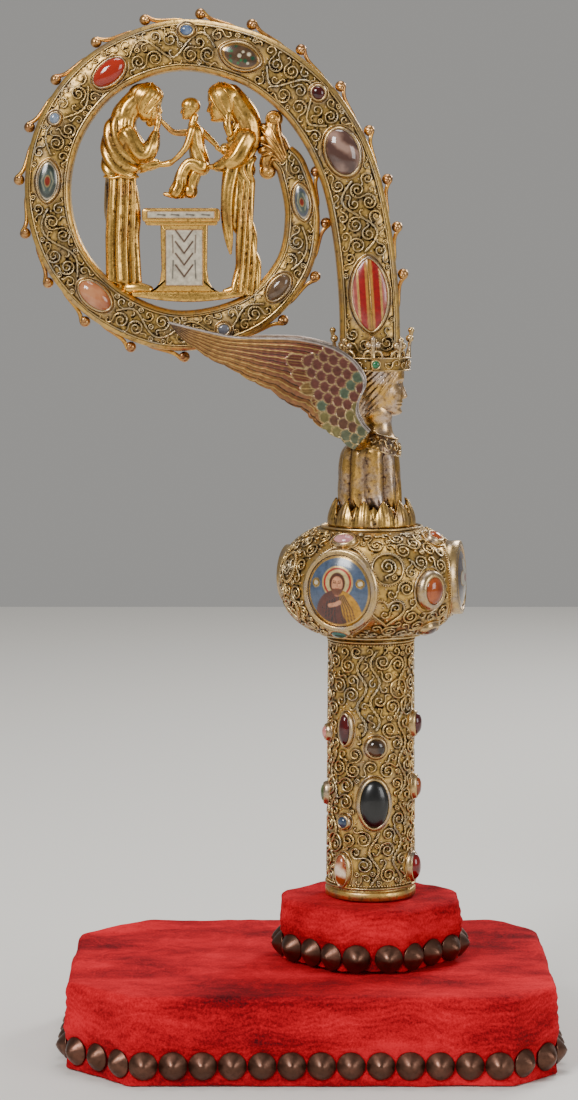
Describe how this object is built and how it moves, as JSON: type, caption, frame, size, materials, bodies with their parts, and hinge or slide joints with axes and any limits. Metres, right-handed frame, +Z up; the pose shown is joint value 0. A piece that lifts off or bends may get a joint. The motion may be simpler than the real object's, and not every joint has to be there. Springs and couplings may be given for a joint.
{
  "type": "crosier head on stand",
  "caption": "Gilt filigree crosier head with set stones, angel knop and figured crook, on a red velvet block stand edged with nails.",
  "frame": {"origin": "centre of the plinth's flat underside", "axes": "+Z up along the staff, +X to the right seen from the front, so the crook curls towards -X and its broad side faces -Y"},
  "size_m": [0.2196, 0.1482, 0.4167],
  "materials": {
    "red_velvet": "crimson pile velvet",
    "bronze_nail": "dark bronze, semi-gloss",
    "gilt_filigree": "gilt silver filigree over a gilt ground, worn",
    "worn_gilt": "gilt worn to silver and purple-brown",
    "bright_gilt": "polished cast gilt",
    "garnet": "polished garnet cabochon",
    "carnelian": "polished carnelian",
    "amber": "polished amber",
    "black_onyx": "polished onyx",
    "banded_agate": "polished banded agate",
    "pink_quartz": "polished pink quartz",
    "blue_stone": "polished milky blue stone",
    "moss_agate": "polished moss agate",
    "enamel": "vitreous enamel in a metal rim",
    "striped_enamel": "striped vitreous enamel"
  },
  "bodies": {
    "root": {"angel": "worn_gilt", "boss": "red_velvet", "crook": "gilt_filigree", "crook_back_agate": "banded_agate", "crook_back_amber": "amber", "crook_back_blue": "blue_stone", "crook_back_carnelian": "carnelian", "crook_back_enamel": "enamel", "crook_back_garnet": "garnet", "crook_back_onyx": "black_onyx", "crook_blue_outer": "blue_stone", "crook_brown_oval": "amber", "crook_carnelian": "carnelian", "crook_garnet": "garnet", "crook_green_enamel": "enamel", "crook_grey_small": "banded_agate", "crook_inner_enamel": "enamel", "crook_leaf_terminal": "bright_gilt", "crook_moonstone": "blue_stone", "crook_orange_agate": "carnelian", "crook_pink_agate": "banded_agate", "crook_spotted_enamel": "enamel", "crook_striped_oval": "striped_enamel", "crown": "gilt_filigree", "crown_green_stone": "moss_agate", "knop": "gilt_filigree", "knop_amber_side": "amber", "knop_brown_lower": "banded_agate", "knop_carnelian": "carnelian", "knop_enamel_medallion": "enamel", "knop_garnet_back": "garnet", "knop_green_enamel_back": "enamel", "knop_grey_medallion": "enamel", "knop_orange_upper": "carnelian", "knop_pink_upper": "pink_quartz", "knop_teal_lower": "moss_agate", "leaf_calyx": "worn_gilt", "plinth": "red_velvet", "shaft": "gilt_filigree", "shaft_amber_side": "amber", "shaft_banded_agate": "banded_agate", "shaft_black_oval": "black_onyx", "shaft_blue_round": "blue_stone", "shaft_brown_round": "banded_agate", "shaft_carnelian_back": "carnelian", "shaft_garnet_oval_upper": "garnet", "shaft_garnet_side_lower": "garnet", "shaft_garnet_side_upper": "garnet", "shaft_moss_agate_side": "moss_agate", "shaft_onyx_back": "black_onyx", "shaft_pink_side": "pink_quartz", "shaft_rose_quartz_back": "pink_quartz", "temple_group": "bright_gilt", "wing_back": "worn_gilt", "wing_front": "worn_gilt"}
  },
  "joints": []
}
